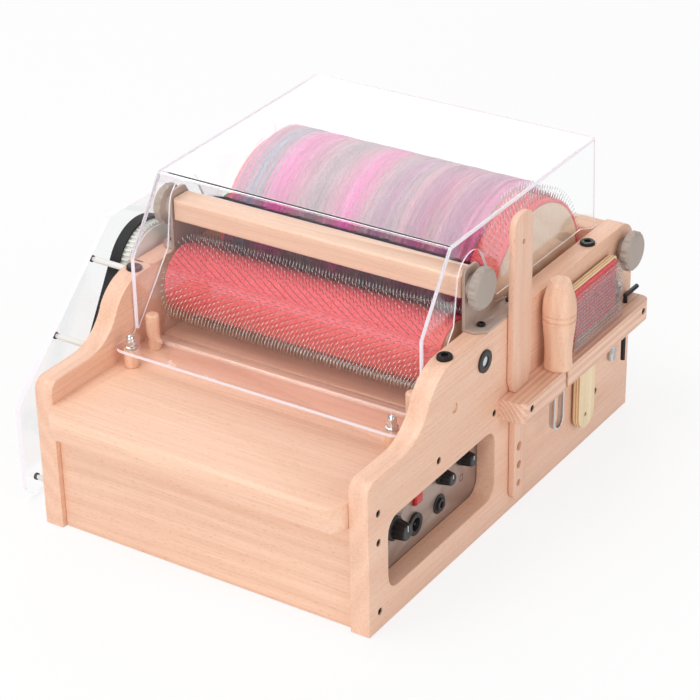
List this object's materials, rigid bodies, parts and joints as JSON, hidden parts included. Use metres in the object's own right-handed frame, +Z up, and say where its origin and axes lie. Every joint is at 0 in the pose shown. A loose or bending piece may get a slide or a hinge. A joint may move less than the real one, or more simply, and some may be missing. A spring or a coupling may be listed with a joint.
{
  "type": "drum carder",
  "caption": "Motor-driven drum carder: wooden cabinet, wired licker-in and drum with a fibre batt, packer brush, clear guard, belt drive and a side rack of tools.",
  "frame": {"origin": "on the underside of the base board, midway between the side panels and midway between their front and back edges", "axes": "+X to the machine's right, where the controls and the tool rack are; +Y to the back, away from the infeed tray; +Z up"},
  "size_m": [0.4385, 0.505, 0.309],
  "materials": {
    "beech": "satin oiled beech",
    "pale_wood": "satin turned wood",
    "plywood": "pale plywood",
    "bright_steel": "bright",
    "nut_chrome": "polished",
    "black_steel": "black oxide",
    "black_plastic": "satin",
    "bracket_grey": "satin powder coat",
    "knob_taupe": "satin",
    "motor_black": "satin",
    "belt_rubber": "matt",
    "clear_acrylic": "clear polished",
    "plate_silver": "fine brushed",
    "board_green": "satin",
    "red_cloth": "red foundation with steel wire",
    "dyed_wool": "carded wool in dyed stripes",
    "pulley_white": "satin",
    "bristle_black": "satin",
    "button_red": "gloss"
  },
  "bodies": {
    "cabinet": {"left_side_panel": "beech", "right_side_panel": "beech", "left_top_bar": "beech", "right_top_bar": "beech", "front_panel": "beech", "base_board": "beech", "rear_panel": "beech", "rear_rail": "beech", "infeed_tray": "beech", "licker_tray": "beech", "wooden_pegs": "pale_wood", "clamp_studs": "bright_steel", "axle_bearings": "black_plastic", "bar_bolts": "black_steel", "side_screws": "black_steel", "left_bracket": "bracket_grey", "right_bracket": "bracket_grey", "motor": "motor_black", "drive_belt": "belt_rubber", "idler_axle": "black_steel", "belt_guard": "clear_acrylic", "belt_guard_standoffs": "black_steel", "control_plate": "plate_silver", "control_board": "board_green", "sockets": "black_plastic", "tool_rack": "beech"},
    "drum": {"drum_shell": "pale_wood", "drum_ends": "pale_wood", "drum_cloth": "red_cloth", "fibre_batt": "dyed_wool", "drum_shaft": "bright_steel", "drum_pulley": "bright_steel"},
    "licker_in": {"licker_roller": "pale_wood", "licker_cloth": "red_cloth", "licker_shaft": "bright_steel", "licker_pulley": "pulley_white"},
    "motor_rotor": {"motor_pulley": "bright_steel"},
    "idler": {"idler_pulley": "bright_steel"},
    "packer": {"packer_bar": "beech", "packer_bristles": "bristle_black", "packer_studs": "bright_steel"},
    "packer_knob_left": {"left_packer_knob": "knob_taupe"},
    "packer_knob_right": {"right_packer_knob": "knob_taupe"},
    "rear_knob_left": {"left_rear_knob": "knob_taupe"},
    "rear_knob_right": {"right_rear_knob": "knob_taupe"},
    "guard": {"guard_hood": "clear_acrylic", "guard_cheeks": "clear_acrylic", "acorn_nuts": "nut_chrome"},
    "speed_control": {"speed_knob": "black_plastic"},
    "direction_control": {"direction_knob": "black_plastic"},
    "mode_control": {"mode_knob": "black_plastic"},
    "power_switch": {"power_button": "button_red"},
    "diz": {"diz_stick": "beech"},
    "doffer": {"doffer_handle": "pale_wood", "doffer_blade": "bright_steel"},
    "flick_brush": {"flick_paddle": "plywood", "flick_pad": "red_cloth"},
    "wrench": {"spanner": "bright_steel"},
    "key": {"hex_key": "black_steel"}
  },
  "joints": [
    {"name": "drum_spin", "type": "hinge", "parent": "cabinet", "child": "drum", "pos_m": [0, 0.097, 0.1845], "axis": [1, 0, 0], "continuous": true},
    {"name": "licker_spin", "type": "hinge", "parent": "cabinet", "child": "licker_in", "pos_m": [0, -0.048, 0.1845], "axis": [1, 0, 0], "continuous": true},
    {"name": "motor_spin", "type": "hinge", "parent": "cabinet", "child": "motor_rotor", "pos_m": [0, -0.168, 0.052], "axis": [1, 0, 0], "continuous": true},
    {"name": "idler_spin", "type": "hinge", "parent": "cabinet", "child": "idler", "pos_m": [0, 0.165, 0.1895], "axis": [1, 0, 0], "continuous": true},
    {"name": "packer_slide", "type": "slide", "parent": "cabinet", "child": "packer", "axis": [0, 0, 1], "range_m": [0, 0.008]},
    {"name": "packer_knob_left_turn", "type": "hinge", "parent": "packer", "child": "packer_knob_left", "pos_m": [-0.165, -0.04, 0.252], "axis": [-1, 0, 0], "range_deg": [0, 360]},
    {"name": "packer_knob_right_turn", "type": "hinge", "parent": "packer", "child": "packer_knob_right", "pos_m": [0.165, -0.04, 0.252], "axis": [1, 0, 0], "range_deg": [0, 360]},
    {"name": "rear_knob_left_turn", "type": "hinge", "parent": "cabinet", "child": "rear_knob_left", "pos_m": [-0.182, 0.2185, 0.1845], "axis": [-1, 0, 0], "range_deg": [0, 360]},
    {"name": "rear_knob_right_turn", "type": "hinge", "parent": "cabinet", "child": "rear_knob_right", "pos_m": [0.182, 0.2185, 0.1845], "axis": [1, 0, 0], "range_deg": [0, 360]},
    {"name": "guard_lift", "type": "slide", "parent": "cabinet", "child": "guard", "axis": [0, 0, 1], "range_m": [0, 0.12]},
    {"name": "speed_turn", "type": "hinge", "parent": "cabinet", "child": "speed_control", "pos_m": [0.1605, -0.171, 0.069], "axis": [1, 0, 0], "range_deg": [-150, 150]},
    {"name": "direction_turn", "type": "hinge", "parent": "cabinet", "child": "direction_control", "pos_m": [0.1605, -0.091, 0.081], "axis": [1, 0, 0], "range_deg": [-45, 45]},
    {"name": "mode_turn", "type": "hinge", "parent": "cabinet", "child": "mode_control", "pos_m": [0.1605, -0.054, 0.082], "axis": [1, 0, 0], "range_deg": [-30, 30]},
    {"name": "power_press", "type": "slide", "parent": "cabinet", "child": "power_switch", "axis": [-1, 0, 0], "range_m": [0, 0.002], "stiffness_N_per_m": 300},
    {"name": "diz_lift", "type": "slide", "parent": "cabinet", "child": "diz", "axis": [0, 0, 1], "range_m": [0, 0.11]},
    {"name": "doffer_lift", "type": "slide", "parent": "cabinet", "child": "doffer", "axis": [0, 0, 1], "range_m": [0, 0.075]},
    {"name": "flick_lift", "type": "slide", "parent": "cabinet", "child": "flick_brush", "axis": [0, 0, 1], "range_m": [0, 0.11]},
    {"name": "spanner_lift", "type": "slide", "parent": "cabinet", "child": "wrench", "axis": [0, 0, 1], "range_m": [0, 0.02]},
    {"name": "key_lift", "type": "slide", "parent": "cabinet", "child": "key", "axis": [0, 0, 1], "range_m": [0, 0.019]}
  ],
  "couplings": [
    {"joint": "licker_spin", "follows": "drum_spin", "ratio": -0.25},
    {"joint": "motor_spin", "follows": "drum_spin", "ratio": -1},
    {"joint": "idler_spin", "follows": "drum_spin", "ratio": -0.75}
  ]
}
